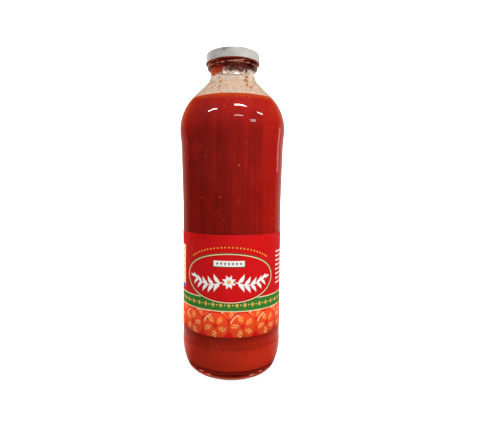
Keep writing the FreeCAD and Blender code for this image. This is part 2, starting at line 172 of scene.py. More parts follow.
class StageSettings(bpy.types.PropertyGroup):
    distance: length("Camera distance", "Camera to the bottle's axis", 0.3275)
    height: length("Camera height", "Camera above the table", 0.15183)
    pitch: number("Camera pitch", "Degrees that the camera looks down", 3.504)
    roll: number("Camera roll", "Degrees that the camera leans", 0.35)
    lens: number("Lens", "Focal length in millimetres", 28.091)
    shift_across: number("Shift across", "Sideways shift of the view, in widths", 0.0306)
    shift_up: number("Shift up", "Upward shift of the view, in widths", -0.0243)
    floor: colour("Floor", "Floor and backdrop", (0.82, 0.82, 0.82))
    near_glow: number("Near glow", "Lift of the floor by the bottle", 0.62)
    gloss_glow: number("Gloss glow", "Backdrop as gloss sees it", 0.38)


# ---- small builders ------------------------------------------------------------------------

def add_node(tree, kind, settings=None, inputs=None):
    """A node with its settings and inputs: a socket is linked, anything else is a constant."""
    made = tree.nodes.new(kind)
    for key, value in (settings or {}).items():
        setattr(made, key, value)
    for key, value in (inputs or {}).items():
        if isinstance(value, bpy.types.NodeSocket):
            tree.links.new(value, made.inputs[key])
        else:
            made.inputs[key].default_value = value
    return made


def fed(kind, inputs, settings=None):
    """The outputs of a node, made in the tree that its linked inputs come from."""
    tree = next(value.id_data for value in inputs.values() if isinstance(value, bpy.types.NodeSocket))
    return add_node(tree, kind, settings, inputs).outputs


def new_material(name):
    made = bpy.data.materials.new(name)
    made.use_nodes = True
    made.node_tree.nodes.clear()
    return made, made.node_tree


def finished(material, shader):
    fed("ShaderNodeOutputMaterial", {"Surface": shader})
    return material


def opaque(rgb):
    return (*rgb, 1.0)


def dimmed(rgb, share):
    return tuple(part * share for part in rgb)


def place(tree):
    return add_node(tree, "ShaderNodeTexCoord").outputs["Object"]


def axis(vector, name):
    return fed("ShaderNodeSeparateXYZ", {0: vector})[name]


def with_vectors(operation, first, second=(0, 0, 0)):
    made = fed("ShaderNodeVectorMath", {0: first, 1: second}, {"operation": operation})
    return made["Value" if operation in ("LENGTH", "DOT_PRODUCT") else "Vector"]


def way_out(spot):
    """The level direction from the bottle's axis to a place."""
    return with_vectors("NORMALIZE", with_vectors("MULTIPLY", spot, (1, 1, 0)))


def stretched(vector, scale):
    return fed("ShaderNodeMapping", {"Vector": vector, "Scale": scale})[0]


def drawn_down(spot, share):
    """Places squeezed in height, so that a pattern over them is drawn out up and down."""
    return stretched(spot, (1.0, 1.0, share))


def distance_from(spot, middle, scale):
    """How far a place lies from a middle, with each axis scaled first."""
    return with_vectors("LENGTH", stretched(with_vectors("SUBTRACT", spot, middle), scale))


def noise_value(vector, scale, detail=2.0, roughness=0.5, distortion=0.0):
    return fed("ShaderNodeTexNoise", {
        "Vector": vector, "Scale": scale, "Detail": detail, "Roughness": roughness,
        "Distortion": distortion})["Fac"]


def between(value, low, high, to_low=0.0, to_high=1.0):
    """Value carried from one range to another, held at both ends."""
    inputs = {"Value": value, "From Min": low, "From Max": high, "To Min": to_low, "To Max": to_high}
    return fed("ShaderNodeMapRange", inputs, {"clamp": True})[0]


def calculate(operation, *values):
    return fed("ShaderNodeMath", dict(enumerate(values)), {"operation": operation})[0]


def plus(first, second):
    return calculate("ADD", first, second)


def times(first, second):
    return calculate("MULTIPLY", first, second)


def times_plus(first, second, added):
    return calculate("MULTIPLY_ADD", first, second, added)


def most(first, second):
    return calculate("MAXIMUM", first, second)


def apart(first, second):
    """How far two values lie from each other."""
    return calculate("ABSOLUTE", calculate("SUBTRACT", first, second))


def mixed(share, first, second):
    """Two colours mixed by a share, each a socket or three numbers."""
    ends = [end if isinstance(end, bpy.types.NodeSocket) else opaque(end) for end in (first, second)]
    return fed("ShaderNodeMix", {0: share, 6: ends[0], 7: ends[1]}, {"data_type": "RGBA"})[2]


def bump(height, strength, distance):
    return fed("ShaderNodeBump", {"Height": height, "Strength": strength, "Distance": distance})[0]


def principled(inputs):
    return fed("ShaderNodeBsdfPrincipled", inputs)[0]


def over(share, below, above):
    return fed("ShaderNodeMixShader", {0: share, 1: below, 2: above})[0]


def lets_lamps_through(shader, tint):
    """A clear shader that lamps shine straight through."""
    tree = shader.id_data
    ray = add_node(tree, "ShaderNodeLightPath").outputs["Is Shadow Ray"]
    clear = add_node(tree, "ShaderNodeBsdfTransparent", None, {"Color": opaque(tint)}).outputs[0]
    return over(ray, shader, clear)


def new_object(name, data):
    made = bpy.data.objects.new(name, data)
    bpy.context.scene.collection.objects.link(made)
    return made


def smooth_over(mesh):
    mesh.polygons.foreach_set("use_smooth", [True] * len(mesh.polygons))


def mesh_from(name, bm):
    mesh = bpy.data.meshes.new(name)
    bm.to_mesh(mesh)
    bm.free()
    smooth_over(mesh)
    return mesh


def applied(thing):
    """The mesh of a thing with its modifiers applied."""
    graph = bpy.context.evaluated_depsgraph_get()
    return bpy.data.meshes.new_from_object(thing.evaluated_get(graph))


def join_as_piece(piece, slot, *nodes):
    """Tie a finished piece to the bottle's body and hide the parts of the frame that it stands in for."""
    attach(piece, ROOT)
    if nodes:
        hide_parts(*nodes)


# ---- outlines read from the frame ------------------------------------------------------------

def wall_section(node, inward, low, high):
    """(radius, height) along a turned wall, read where its surface is seamed, from low to high."""
    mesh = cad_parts[node].data
    found = {}
    for face in mesh.polygons:
        if (face.normal.x < 0) != inward:
            continue
        for index in face.vertices:
            spot = mesh.vertices[index].co
            if abs(spot.y) < 1e-6 and spot.x > 0 and low <= spot.z <= high:
                found[round(spot.z, 7)] = spot.x
    return [(found[key], key) for key in sorted(found)]


def floor_section(node):
    """(radius, height) of the bottom of a turned solid, from its axis out to its lowest corner."""
    found = set()
    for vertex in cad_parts[node].data.vertices:
        if abs(vertex.co.y) < 1e-6 and vertex.co.x >= 0:
            found.add((round(vertex.co.x, 6), round(vertex.co.z, 6)))
    lowest = min(found, key=lambda spot: (spot[1], spot[0]))
    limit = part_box(node)[0].z + 4 * MM
    return sorted(spot for spot in found if spot[0] <= lowest[0] and spot[1] < limit)


def thinned(section, gap):
    """The same section with points no closer than a gap, ends kept."""
    kept = [section[0]]
    for spot in section[1:-1]:
        if math.dist(spot, kept[-1]) >= gap:
            kept.append(spot)
    return [*kept, section[-1]]


def refined(section, gap):
    """The same section with points added so that none are further apart than a gap."""
    made = [section[0]]
    for spot in section[1:]:
        start = made[-1]
        parts = max(1, math.ceil(math.dist(start, spot) / gap))
        for part in range(1, parts + 1):
            share = part / parts
            made.append((start[0] + (spot[0] - start[0]) * share, start[1] + (spot[1] - start[1]) * share))
    return made


def headings(path):
    """The direction of a path at each of its spots."""
    made = []
    for index in range(len(path)):
        before = path[max(index - 1, 0)]
        after = path[min(index + 1, len(path) - 1)]
        made.append(Vector((after[0] - before[0], after[1] - before[1])).normalized())
    return made


def moved_out(section, amount):
    """A section moved square to itself: outwards where the amount is positive."""
    return [
        (max(radius + along.y * amount, 0.0), height - along.x * amount)
        for (radius, height), along in zip(section, headings(section))]


def turned(bm, section, segments):
    """Turn a section round the axis. Where it meets the axis, it closes in a fan."""
    rings = []
    for radius, height in section:
        ring = []
        for step in range(segments if radius > 1e-6 else 1):
            angle = 2 * math.pi * step / segments
            ring.append(bm.verts.new((radius * math.cos(angle), radius * math.sin(angle), height)))
        rings.append(ring)
    for lower, upper in zip(rings, rings[1:]):
        for step in range(segments):
            after = (step + 1) % segments
            if len(lower) == 1:
                bm.faces.new((lower[0], upper[after], upper[step]))
            elif len(upper) == 1:
                bm.faces.new((lower[step], lower[after], upper[0]))
            else:
                bm.faces.new((lower[step], lower[after], upper[after], upper[step]))


# ---- scattering ------------------------------------------------------------------------------

def scatter_tree(name, material):
    """Geometry Nodes that scatter one item over a surface, more thickly where it is crowded."""
    tree = bpy.data.node_groups.new(name, "GeometryNodeTree")
    sockets = {
        "Surface": "Geometry", "Item": "Object", "Count per area": "Float", "Seed": "Int",
        "Smallest": "Float", "Largest": "Float", "Sink": "Float"}
    for label, kind in sockets.items():
        tree.interface.new_socket(name=label, in_out="INPUT", socket_type="NodeSocket" + kind)
    tree.interface.new_socket(name="Geometry", in_out="OUTPUT", socket_type="NodeSocketGeometry")
    given = tree.nodes.new("NodeGroupInput").outputs
    crowding = add_node(
        tree, "GeometryNodeInputNamedAttribute", {"data_type": "FLOAT"}, {"Name": "crowding"}).outputs[0]
    density = times(given["Count per area"], crowding)
    points = fed(
        "GeometryNodeDistributePointsOnFaces",
        {"Mesh": given["Surface"], "Density": density, "Seed": given["Seed"]},
        {"distribute_method": "RANDOM"})
    inward = fed(
        "ShaderNodeVectorMath", {0: points["Normal"], "Scale": times(given["Sink"], -1.0)},
        {"operation": "SCALE"})[0]
    sunk = fed("GeometryNodeSetPosition", {"Geometry": points["Points"], "Offset": inward})[0]
    spin = fed(
        "FunctionNodeRandomValue",
        {0: (-0.12, -0.12, 0.0), 1: (0.12, 0.12, 2 * math.pi), "Seed": given["Seed"]},
        {"data_type": "FLOAT_VECTOR"})[0]
    turn = fed("FunctionNodeEulerToRotation", {0: spin})[0]
    facing = fed(
        "FunctionNodeRotateRotation", {"Rotation": points["Rotation"], "Rotate By": turn},
        {"rotation_space": "LOCAL"})[0]
    size = fed(
        "FunctionNodeRandomValue", {2: given["Smallest"], 3: given["Largest"], "Seed": given["Seed"]},
        {"data_type": "FLOAT"})[1]
    item = fed("GeometryNodeObjectInfo", {"Object": given["Item"]})["Geometry"]
    placed = fed(
        "GeometryNodeInstanceOnPoints",
        {"Points": sunk, "Instance": item, "Rotation": facing, "Scale": size})[0]
    real = fed("GeometryNodeRealizeInstances", {"Geometry": placed})[0]
    dressed = fed("GeometryNodeSetMaterial", {"Geometry": real, "Material": material})[0]
    fed("NodeGroupOutput", {"Geometry": dressed})
    return tree


def scattered(name, surface, share_at, item_mesh, material, per_area, seed, sizes, sink):
    """Scatter copies of an item over a surface and keep them as one plain piece of the contents.

    The function given says how crowded each point of the surface is, from 0 to 1.
    """
    layer = surface.attributes.new("crowding", "FLOAT", "POINT")
    layer.data.foreach_set("value", [share_at(vertex.co) for vertex in surface.vertices])
    carrier = new_object(name + "_carrier", surface)
    item = new_object(name + "_item", item_mesh)
    modifier = carrier.modifiers.new("scatter", "NODES")
    modifier.node_group = scatter_tree(name + "_scatter", material)
    values = {
        "Item": item, "Count per area": float(per_area), "Seed": seed,
        "Smallest": sizes[0], "Largest": sizes[1], "Sink": sink}
    for socket in modifier.node_group.interface.items_tree:
        if socket.in_out == "INPUT" and socket.name in values:
            modifier[socket.identifier] = values[socket.name]
    mesh = applied(carrier)
    mesh.name = name
    for helper in (carrier, item):
        bpy.data.objects.remove(helper)
    mesh.materials.clear()
    mesh.materials.append(material)
    smooth_over(mesh)
    join_as_piece(new_object(name, mesh), "crushed_tomato")


def blob(name, size, roughness, seed, detail=2, point=0.0):
    """A small rounded body of the given half sizes, uneven, and pointed at one end if asked."""
    bm = bmesh.new()
    bmesh.ops.create_icosphere(bm, subdivisions=detail, radius=1.0)
    for vertex in bm.verts:
        spot = vertex.co.copy()
        swell = 1 + roughness * noise.noise(spot * 1.3 + Vector((seed, 0, 0)))
        taper = 1 - point * max(spot.x, 0.0)
        vertex.co = Vector((spot.x * size[0], spot.y * size[1] * taper, spot.z * size[2] * taper)) * swell
    return mesh_from(name, bm)


# ---- glass -----------------------------------------------------------------------------------

def at_front(spot):
    """One round the front half of the bottle, none at its back."""
    return between(axis(spot, "Y"), 0.0, 0.006, 1.0, 0.0)


def painted_bead_highlights(spot, height):
    """Painted highlights: one along the bead and along the thread that climbs above it at the front."""
    back = times(axis(spot, "Y"), -1.0)
    angle = calculate("ARCTAN2", axis(spot, "X"), back)
    climb = times_plus(angle, -THREAD_LEAD / (2 * math.pi), height)
    side = between(calculate("ABSOLUTE", angle), 0.50, 0.62)
    thread = plus(apart(climb, THREAD_LINE), times(side, 0.01))
    nearest = calculate("MINIMUM", thread, apart(height, BEAD_LINE))
    broken = between(noise_value(spot, 300.0), 0.36, 0.48)
    return times(between(nearest, 0.00014, 0.00036, 1.0, 0.0), broken)


def clear_glass(settings):
    """Clear flint glass with the slow waves of a blown wall, stained with juice at its threads, with painted
    highlights along the bead and the thread, a painted reflection of the pulp in its foot and painted shade
    along its lowest edge.
    """
    material, tree = new_material("clear_flint_glass")
    spot = place(tree)
    waves = noise_value(drawn_down(spot, 0.45), settings.wave_size)
    height = axis(spot, "Z")
    ragged = times_plus(noise_value(spot, 420.0, 3.0, 0.6), 3.0 * MM, height)
    stained = between(ragged, CAP_FOOT - 5.0 * MM, CAP_FOOT - 3.6 * MM)
    stained = times(stained, at_front(spot))
    blotch = noise_value(spot, 260.0)
    stain = mixed(between(blotch, 0.35, 0.65), settings.stain, settings.light_stain)
    body = mixed(stained, settings.tint, stain)
    # Painted reflection of the pulp low in the thick foot, then a painted ring of shade along its lowest
    # edge.
    body = mixed(between(height, 5.0 * MM, 9.5 * MM, 1.0, 0.0), body, settings.foot)
    body = mixed(between(height, 0.8 * MM, 2.2 * MM, 1.0, 0.0), body, settings.painted_foot_shade)
    shader = principled({
        "Base Color": body, "Roughness": 0.012, "IOR": 1.5, "Transmission Weight": 1.0,
        "Normal": bump(waves, 1.0, settings.waviness)})
    # Painted highlight: a matt colour drawn along the bead and the thread in place of the lamps' gleam.
    dried = principled({
        "Base Color": mixed(blotch, settings.bead_highlight, settings.pale_bead_highlight), "Roughness": 0.35})
    clear = lets_lamps_through(shader, settings.tint)
    return finished(material, over(painted_bead_highlights(spot, height), clear, dried))


class BOTTLE_OT_glass(bpy.types.Operator):
    """Give the blown bottle its clear glass"""

    bl_idname = "tomato_bottle.glass"
    bl_label = "Finish the Glass"

    def execute(self, context):
        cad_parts["bottle"].data.materials[0] = clear_glass(context.scene.tomato_glass)
        return {"FINISHED"}


# ---- crushed tomato ----------------------------------------------------------------------------

def pulp_material(settings):
    """Wet crushed tomato: flesh and juice in soft clouds, streaked where it slid down the glass."""
    material, tree = new_material("crushed_tomato_pulp")
    spot = place(tree)
    height = axis(spot, "Z")
    side = axis(way_out(spot), "X")
    clouds = noise_value(spot, 70.0, 3.0, 0.55, 0.6)
    broad = noise_value(drawn_down(spot, 0.05), 75.0)
    fine = noise_value(drawn_down(spot, 0.025), 300.0, 3.0, 0.65)
    threads = noise_value(drawn_down(spot, 0.02), 640.0, 2.0, 0.6)
    grain = noise_value(spot, 900.0, 3.0, 0.6)

    share = times_plus(broad, 0.30, times(clouds, 0.30))
    share = between(times_plus(fine, 0.40, share), 0.38, 0.64, 0.0, 0.66)
    threads = between(threads, 0.50, 0.58, -0.10, 0.14)
    share = times_plus(threads, between(clouds, 0.40, 0.60), share)
    # Painted light: the flesh is made paler towards the right side, where the key lamp falls, and up towards
    # the shoulder.
    edge = between(times_plus(fine, 0.16, side), 0.56, 0.70, 0.0, 0.42)
    painted_shoulder_light = between(height, 186 * MM, 212 * MM, 0.0, 0.38)
    share = plus(plus(share, edge), painted_shoulder_light)
    body = mixed(calculate("MINIMUM", share, 0.84), settings.juice, settings.flesh)

    # Painted light: the pulp is made paler towards the heel, standing in for light bounced up from the
    # floor.
    low = between(times_plus(clouds, 12 * MM, height), 12 * MM, 52 * MM, 1.0, 0.0)
    body = mixed(low, body, settings.painted_heel_light)
    body = mixed(between(grain, 0.52, 0.80, 0.0, 0.25), body, settings.bit)
    cells = fed(
        "ShaderNodeTexVoronoi", {"Vector": spot, "Scale": 210.0, "Smoothness": 0.6, "Randomness": 1.0},
        {"feature": "SMOOTH_F1"})["Distance"]
    sparse = between(noise_value(spot, 120.0, 1.0), 0.54, 0.64, 0.0, 0.40)
    bits = times(between(cells, 0.14, 0.30, 1.0, 0.0), sparse)
    body = mixed(bits, body, settings.bit)

    # Painted shade: a thin dark line at the heel line and a faint darker band from there up to the label's
    # foot, both drawn in the juice colour.
    painted_groove_shade = between(apart(height, HEEL_LINE), 0.4 * MM, 1.0 * MM, 0.45, 0.0)
    painted_groove_shade = times(painted_groove_shade, between(broad, 0.35, 0.5))
    body = mixed(painted_groove_shade, body, settings.juice)
    shade = between(height, HEEL_LINE, HEEL_LINE + 1 * MM, 0.0, 0.12)
    shade = times(shade, between(height, LABEL_FOOT, LABEL_FOOT + 2 * MM, 1.0, 0.0))
    body = mixed(shade, body, settings.juice)
    ragged = times_plus(noise_value(spot, 160.0), 3 * MM, height)
    lip = calculate("POWER", between(ragged, LEVEL - 3.0 * MM, LEVEL + 2.2 * MM), 1.5)
    # Painted light: the froth colour is laid on the left and right flanks just below the level as a painted
    # glow at the edges; the lip at the level is the pulp's own paler froth.
    painted_edge_glow = between(calculate("ABSOLUTE", side), 0.70, 1.0, 0.0, 0.55)
    painted_edge_glow = times(painted_edge_glow, between(height, LEVEL - 24 * MM, LEVEL - 8 * MM))
    body = mixed(most(lip, painted_edge_glow), body, settings.froth_and_edge_glow)
    return finished(material, principled({
        "Base Color": body, "Roughness": between(grain, 0.3, 0.7, 0.28, 0.48),
        "Specular IOR Level": 0.06, "Subsurface Weight": 0.25, "Subsurface Radius": (0.0015, 0.0004, 0.0002),
        "Subsurface Scale": 1.0, "Normal": bump(grain, 0.35, 0.0004)}))


def pulp_surface(settings):
    """The body of the pulp: the bottle's inside, a touch larger, with a lumpy level surface."""
    wall = wall_section("crushed_tomato", False, PULP_FOOT, LEVEL)
    section = refined(thinned(floor_section("crushed_tomato") + wall[1:], 0.4 * MM), 2.5 * MM)
    section = moved_out(section, settings.into_glass)
    section[0] = (0.0, section[0][1])
    edge = section[-1][0]
    lip = 0.6 * MM
    section[-1] = (edge, LEVEL + lip)
    rings = 26
    for ring in range(1, rings + 1):
        radius = edge * (1 - ring / rings)
        section.append((radius, LEVEL + lip * math.exp(-(edge - radius) / (0.8 * MM))))
    bm = bmesh.new()
    turned(bm, section, 160)
    for vertex in bm.verts:
        across = vertex.co.xy.length
        if vertex.co.z > LEVEL - 1e-5 and across < edge - 1e-4:
            calm = min(1.0, (edge - across) / (3 * MM))
            vertex.co.z += calm * noise.fractal(vertex.co * 240, 0.9, 2.0, 4) * 0.9 * MM
    bmesh.ops.recalc_face_normals(bm, faces=bm.faces)
    return mesh_from("crushed_tomato_pulp", bm)


def side_only(mesh, low, high):
    """A copy of the faces between two heights."""
    bm = bmesh.new()
    bm.from_mesh(mesh)
    outside = [face for face in bm.faces if not low <= face.calc_center_median().z <= high]
    bmesh.ops.delete(bm, geom=outside, context="FACES")
    return mesh_from(mesh.name + "_side", bm)


def clear_of_label(spot):
    return 0.0 if LABEL_FOOT < spot.z < LABEL_TOP else 1.0


def soft_bit_material(name, rgb, wobble):
    """Soft wet flesh or seed, paler and darker in patches."""
    material, tree = new_material(name)
    patches = noise_value(place(tree), 320.0)
    return finished(material, principled({
        "Base Color": mixed(between(patches, 0.35, 0.65), dimmed(rgb, wobble), rgb),
        "Roughness": 0.3, "Specular IOR Level": 0.1, "Subsurface Weight": 0.2,
        "Subsurface Radius": (0.0008, 0.0003, 0.0001), "Subsurface Scale": 1.0,
        "Normal": bump(patches, 0.3, 0.0002)}))


class BOTTLE_OT_pulp(bpy.types.Operator):
    """Fill the bottle with crushed tomato, with seeds and pieces of flesh against the glass"""

    bl_idname = "tomato_bottle.pulp"
    bl_label = "Fill With Crushed Tomato"

    def execute(self, context):
        settings = context.scene.tomato_pulp
        mesh = pulp_surface(settings)
        mesh.materials.append(pulp_material(settings))
        join_as_piece(new_object("crushed_tomato_pulp", mesh), "crushed_tomato", "crushed_tomato")
        seed = blob("seed", (1.5 * MM, 1.1 * MM, 0.42 * MM), 0.15, 3, 2, 0.45)
        flesh = blob("flesh", (1.3 * MM, 0.8 * MM, 0.35 * MM), 0.6, 8)
        bits = (
            ("tomato_seeds", seed, "tomato_seed", settings.seed, 0.6,
             settings.seed_count, 11, (0.7, 1.25), 0.30 * MM),
            ("flesh_pieces", flesh, "tomato_flesh_piece", settings.bit, 0.55,
             settings.bit_count, 5, (0.35, 1.0), 0.27 * MM))
        for name, item, finish, rgb, wobble, *rest in bits:
            side = side_only(mesh, 9 * MM, LEVEL - 4 * MM)
            scattered(name, side, clear_of_label, item, soft_bit_material(finish, rgb, wobble), *rest)
        return {"FINISHED"}


# ---- residue above the fill level ----------------------------------------------------------------
# The larger flecks: degrees round from the front, millimetres below the cap's foot, lean in
# degrees and size.

LARGER_FLECKS = (
    (39, 14.2, 10, 1.35), (32, 18.3, -38, 1.5), (-27, 19.6, 8, 1.0), (-36, 15.0, 60, 0.8),
    (-37, 24.0, 30, 0.7), (12, 25.0, -20, 0.5), (118, 17.0, 25, 1.2), (-140, 21.0, -50, 1.1))


def patch(spot, middle, reach, ragged):
    """One inside a ragged patch about a place, none outside."""
    far = distance_from(spot, middle, tuple(1.0 / side for side in reach))
    return between(plus(far, ragged), 1.0, 1.25, 1.0, 0.0)


def bubbles(spot, size):
    """Rims of round bubbles, one on a rim and none off it."""
    inputs = {"Vector": spot, "Scale": size, "Randomness": 0.8}
    away = fed("ShaderNodeTexVoronoi", inputs, {"feature": "F1"})["Distance"]
    return between(apart(away, 0.36), 0.03, 0.08, 1.0, 0.0)


def film_material(settings):
    """Dried film: clear between its specks and streaks, thick and dark red up in the mouth."""
    material, tree = new_material("dried_tomato_film")
    spot = place(tree)
    height = axis(spot, "Z")
    fine = noise_value(spot, 1300.0, 3.0, 0.7)
    coarse = noise_value(spot, 420.0, 3.0, 0.6, 0.4)
    broad = noise_value(spot, 110.0)
    runs = noise_value(drawn_down(spot, 0.06), 520.0)
    specks = times(between(fine, 0.54, 0.62), between(coarse, 0.42, 0.56))
    haze = between(broad, 0.3, 0.7, 0.20, 0.36)
    haze = plus(haze, between(runs, 0.45, 0.7, 0.0, 0.26))
    thin = most(haze, times(specks, 0.8))
    tone = mixed(specks, settings.film, settings.speck)
    # Painted light: the film is made paler in a band below the mouth, lifting the shade that falls there.
    pale = between(height, CAP_FOOT - 13.5 * MM, CAP_FOOT - 10.5 * MM, 0.0, 0.7)
    tone = mixed(pale, tone, settings.painted_light_film)

    ragged = between(coarse, 0.3, 0.7, -0.5, 0.5)
    edge = times_plus(ragged, 2.2 * MM, height)
    mouth = between(edge, CAP_FOOT - 6.0 * MM, CAP_FOOT - 5.0 * MM)
    mouth = times(mouth, at_front(spot))
    left = patch(spot, (-0.0140, -0.0095, CAP_FOOT - 0.0068), (0.0068, 0.0085, 0.0040), ragged)
    front = patch(spot, (0.0058, -0.0160, CAP_FOOT - 0.0066), (0.0098, 0.0070, 0.0032), ragged)
    blotch = between(coarse, 0.35, 0.65)
    stain = mixed(blotch, dimmed(settings.thick, 0.3), settings.thick)
    # Pale rims of the bubbles in the mouth: partly the foam itself, partly painted glints of the lamps on
    # the bubbles.
    rims = times(bubbles(spot, 460.0), between(fine, 0.46, 0.60, 0.0, 0.8))
    stain = mixed(times(front, rims), stain, settings.foam_and_glints)
    fresh = mixed(between(fine, 0.40, 0.56), settings.thick, settings.fresh)
    stain = mixed(left, stain, fresh)
    thick = most(mouth, most(left, front))
    cover = most(thin, times(thick, 0.985))
    shader = principled({
        "Base Color": mixed(thick, tone, stain), "Roughness": between(fine, 0.3, 0.7, 0.22, 0.5),
        "Specular IOR Level": 0.2, "Normal": bump(coarse, 0.6, 0.0005)})
    clear = add_node(tree, "ShaderNodeBsdfTransparent").outputs[0]
    return finished(material, over(cover, clear, shader))


def drop_material(settings):
    """Small clear drops that lamps shine through."""
    material, tree = new_material("juice_drop")
    ripple = noise_value(place(tree), 700.0, 1.0)
    shader = principled({
        "Base Color": opaque(settings.drop), "Roughness": 0.05, "IOR": 1.34, "Transmission Weight": 1.0,
        "Normal": bump(ripple, 0.15, 0.0001)})
    return finished(material, lets_lamps_through(shader, settings.drop))


def film_section(settings):
    wall = wall_section("bottle", True, LEVEL - 0.6 * MM, RIM - 1.4 * MM)
    return moved_out(refined(thinned(wall, 0.4 * MM), 1.2 * MM), settings.into_glass)


def stuck_flecks(section):
    """The larger flecks, laid flat on the film, each turned and sized in its own way."""
    bm = bmesh.new()
    for index, (around, below, lean, size) in enumerate(LARGER_FLECKS):
        height = CAP_FOOT - below * MM
        radius = min(section, key=lambda spot: abs(spot[1] - height))[0]
        turn = math.radians(around - 90)
        outward = Vector((math.cos(turn), math.sin(turn), 0.0))
        along = Vector((-math.sin(turn), math.cos(turn), 0.0))
        facing = Matrix((along, Vector((0, 0, 1)), outward)).transposed().to_4x4()
        spin = Matrix.Rotation(math.radians(lean), 4, "Z")
        middle = Matrix.Translation(outward * (radius - 0.05 * MM) + Vector((0, 0, height)))
        mesh = blob("fleck_part", (1.45 * MM, 0.9 * MM, 0.25 * MM), 0.8, index)
        mesh.transform(middle @ facing @ spin @ Matrix.Scale(size, 4))
        bm.from_mesh(mesh)
        bpy.data.meshes.remove(mesh)
    return mesh_from("larger_flecks", bm)


def facing_in(mesh):
    """A copy of a surface that faces the other way."""
    made = mesh.copy()
    made.flip_normals()
    return made


class BOTTLE_OT_residue(bpy.types.Operator):
    """Leave dried film, drops and bits of flesh on the glass above the fill level"""

    bl_idname = "tomato_bottle.residue"
    bl_label = "Leave Residue in the Neck"

    def execute(self, context):
        settings = context.scene.tomato_residue
        section = film_section(settings)
        bm = bmesh.new()
        turned(bm, section, 128)
        mesh = mesh_from("neck_film", bm)
        mesh.materials.append(film_material(settings))
        join_as_piece(new_object("neck_film", mesh), "crushed_tomato")
        drop = blob("drop", (0.30 * MM, 0.30 * MM, 0.20 * MM), 0.25, 2, 1)
        scattered(
            "neck_drops", facing_in(mesh), lambda spot: 1.0 if spot.z < LEVEL + 24 * MM else 0.3, drop,
            drop_material(settings), settings.drop_count, 21, (0.35, 1.25), 0.03 * MM)
        fleck = blob("fleck", (1.25 * MM, 0.7 * MM, 0.25 * MM), 0.7, 6)
        scattered(
            "neck_flecks", facing_in(mesh), lambda spot: 1.0 if spot.z > LEVEL + 6 * MM else 0.35, fleck,
            soft_bit_material("tomato_fleck", settings.fleck, 0.55),
            settings.fleck_count, 4, (0.5, 1.6), 0.05 * MM)
        larger = new_object("larger_flecks", stuck_flecks(section))
        larger.data.materials.append(soft_bit_material("larger_fleck", settings.fleck, 0.45))
        join_as_piece(larger, "crushed_tomato")
        return {"FINISHED"}


# ---- cap -----------------------------------------------------------------------------------------

def enamel_material(settings):
    """Off-white enamel outside, gold lacquer inside, with a smudge on the upper edge."""
    material, tree = new_material("enamelled_tinplate")
    spot = place(tree)
    facing = add_node(tree, "ShaderNodeNewGeometry").outputs["Normal"]
    outward = with_vectors("DOT_PRODUCT", way_out(spot), facing)
    upright = axis(facing, "Z")
    inside = most(between(outward, -0.1, -0.3), between(upright, -0.55, -0.75))
    cloudy = noise_value(spot, 150.0, 3.0, 0.6)
    worn = noise_value(spot, 900.0, 3.0, 0.6)
    enamel = settings.enamel
    body = mixed(between(cloudy, 0.3, 0.7), dimmed(enamel, 0.80), enamel)
    middle = (-6.5 * MM, -CAP_RADIUS * 0.93, CAP_TOP)
    reach = distance_from(spot, middle, (1.0, 0.55, 1.0))
    ragged = times_plus(worn, 4.5 * MM, times_plus(cloudy, 4 * MM, reach))
    body = mixed(between(ragged, 5.8 * MM, 8.8 * MM, 0.85, 0.0), body, settings.stain)
    body = mixed(inside, body, settings.lacquer)
    return finished(material, principled({
        "Base Color": body, "Roughness": between(cloudy, 0.3, 0.7, 0.30, 0.45),
        "Coat Weight": 0.25, "Coat Roughness": 0.2, "Normal": bump(worn, 0.12, 0.0001)}))


def compound_material(settings):
    """Soft sealing compound with a faintly uneven skin."""
    material, tree = new_material("sealing_compound")
    uneven = noise_value(place(tree), 500.0)
    ring = settings.compound
    return finished(material, principled({
        "Base Color": mixed(uneven, dimmed(ring, 0.85), ring), "Roughness": 0.5,
        "Normal": bump(uneven, 0.2, 0.0001)}))


class BOTTLE_OT_cap(bpy.types.Operator):
    """Give the cap its enamel, its lacquer and its sealing ring"""

    bl_idname = "tomato_bottle.cap"
    bl_label = "Finish the Cap"

    def execute(self, context):
        settings = context.scene.tomato_cap
        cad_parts["cap"].data.materials[0] = enamel_material(settings)
        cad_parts["cap_seal"].data.materials[0] = compound_material(settings)
        return {"FINISHED"}


# ---- label ---------------------------------------------------------------------------------------
# The print is drawn flat in millimetres: across from the middle of the front, up from the lower
# edge. Each shape is an outline with an ink, and a later shape covers an earlier one.

LABEL_HEIGHT = (LABEL_TOP - LABEL_FOOT) / MM
LABEL_ROUND = 2 * math.pi * LABEL_RADIUS / MM


def block(left, low, right, high):
    return [(left, low), (right, low), (right, high), (left, high)]


def oval(across, up, half_width, half_height, points):
    return [
        (across + half_width * math.cos(2 * math.pi * step / points),
         up + half_height * math.sin(2 * math.pi * step / points))
        for step in range(points)]


def turned_spots(spots, across, up, angle):
    """Spots turned about the origin, then moved."""
    cos = math.cos(angle)
    sin = math.sin(angle)
    return [(across + x * cos - y * sin, up + x * sin + y * cos) for x, y in spots]


def leaf(across, up, angle, size, width, bend):
    """A pointed leaf growing from a spot."""
    upper = []
    lower = []
    for step in range(13):
        share = step / 12
        half = width * size * math.sin(math.pi * share ** 0.8) * (1 - 0.25 * share)
        middle = bend * size * math.sin(math.pi * share)
        upper.append((share * size, middle + half))
        lower.append((share * size, middle - half))
    return turned_spots(lower + upper[::-1][1:-1], across, up, angle)


def petals(across, up, count_of_petals, size, start, ink):
    """A ring of leaves that grow from one spot."""
    for petal in range(count_of_petals):
        turn = start + petal * 2 * math.pi / count_of_petals
        yield leaf(across, up, turn, size, 0.26, 0.0), ink


def diamond(across, up, half_width, half_height):
    lower = [(across - half_width, up), (across, up - half_height)]
    return [*lower, (across + half_width, up), (across, up + half_height)]


